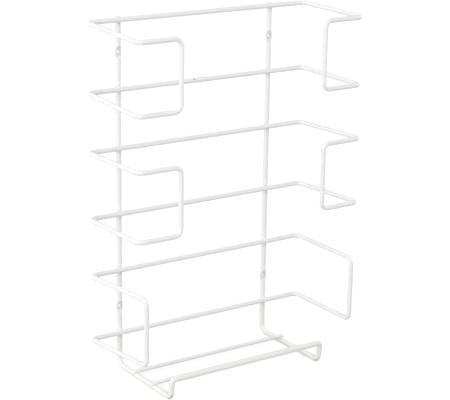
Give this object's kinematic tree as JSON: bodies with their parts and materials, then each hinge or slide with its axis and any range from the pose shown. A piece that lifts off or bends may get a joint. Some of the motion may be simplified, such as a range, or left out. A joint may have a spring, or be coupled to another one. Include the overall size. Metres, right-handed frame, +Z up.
{
  "type": "disposable glove dispenser",
  "caption": "White coated wire rack for the wall: looped wire arms hold stacked boxes of disposable gloves by their corners, open at the front, above a tray with a lip.",
  "frame": {"origin": "middle of the footprint, on the plane that the feet stand on", "axes": "+X along the wall to the right as seen from the front, +Y into the wall, -Y the open front, +Z up"},
  "size_m": [0.2696, 0.1093, 0.3688],
  "materials": {
    "white_coated_wire": "smooth white epoxy coating, semi-gloss"
  },
  "bodies": {
    "root": {"frame_wire": "white_coated_wire", "top_loop": "white_coated_wire", "middle_loop": "white_coated_wire", "bottom_loop": "white_coated_wire", "rear_tray_bar": "white_coated_wire", "front_tray_bar": "white_coated_wire"}
  },
  "joints": []
}
